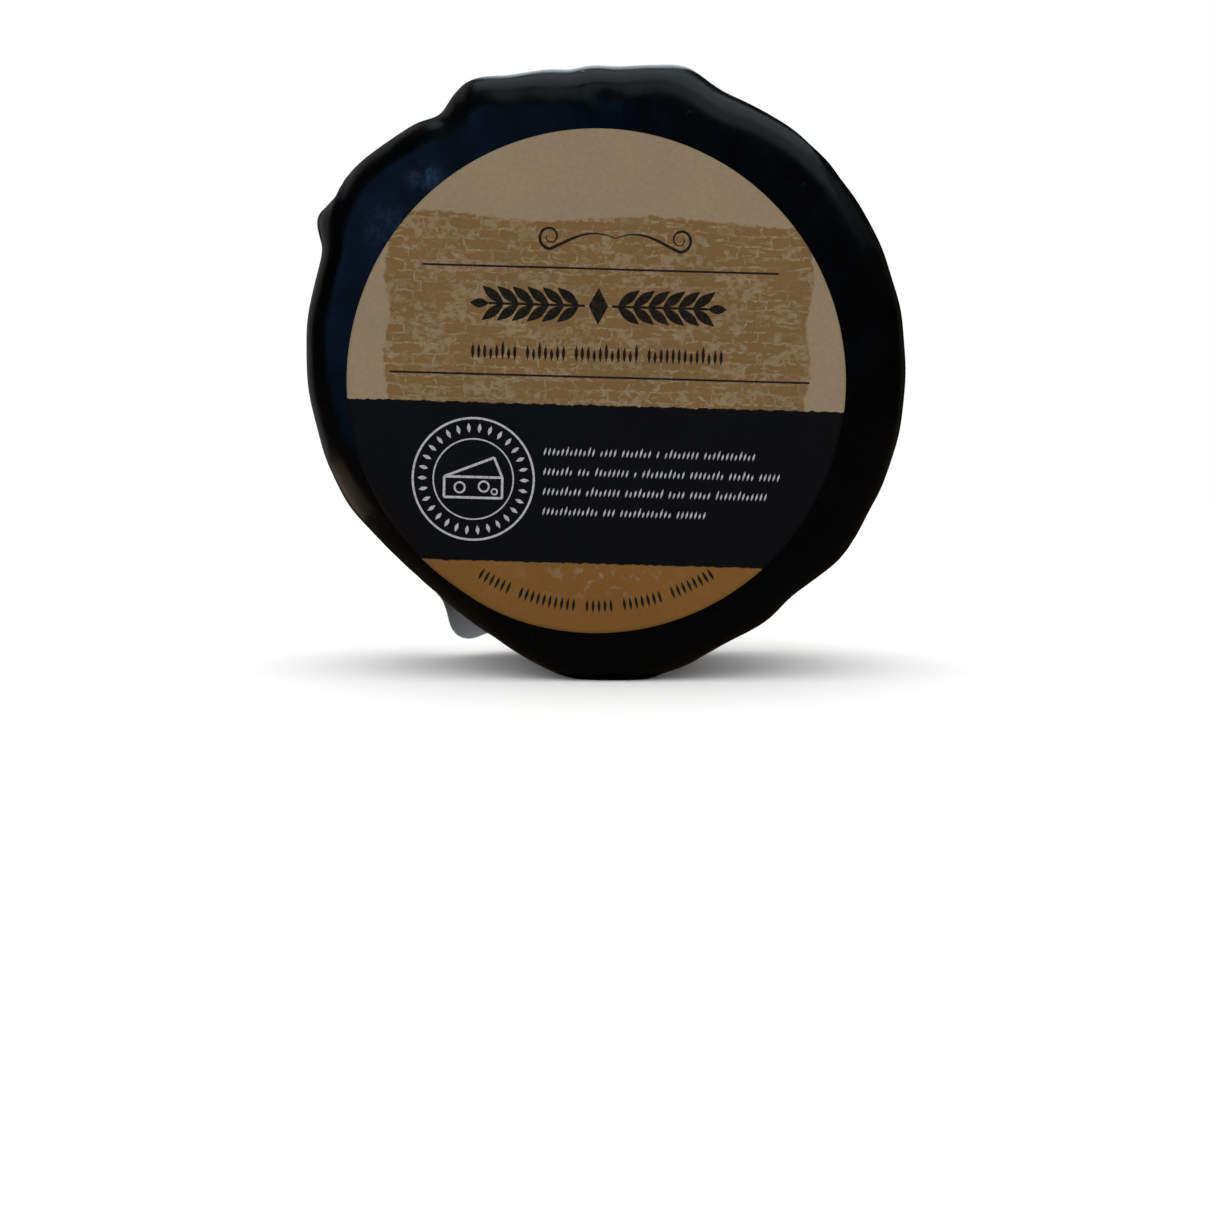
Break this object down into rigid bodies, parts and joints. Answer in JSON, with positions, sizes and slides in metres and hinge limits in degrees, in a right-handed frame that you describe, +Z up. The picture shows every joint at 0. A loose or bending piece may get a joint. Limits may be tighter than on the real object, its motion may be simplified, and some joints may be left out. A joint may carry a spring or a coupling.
{
  "type": "waxed truckle cheese",
  "caption": "Small drum-shaped cheese in thick black wax, standing on its rim, with a round paper label in front and a rectangular one behind.",
  "frame": {"origin": "middle of the object's footprint, on the surface that the rim stands on", "axes": "+Z up, +Y from the front label through the cheese to the back, along the drum's short axis, +X to the right seen from the front"},
  "size_m": [0.087, 0.0382, 0.0877],
  "materials": {
    "black_wax": "thick satin cheese wax, hand dipped",
    "kraft_label": "uncoated printed kraft paper, stuck on",
    "white_label": "white printed paper, stuck on"
  },
  "bodies": {
    "root": {"waxed_cheese": "black_wax", "front_label": "kraft_label", "reverse_label": "white_label"}
  },
  "joints": []
}
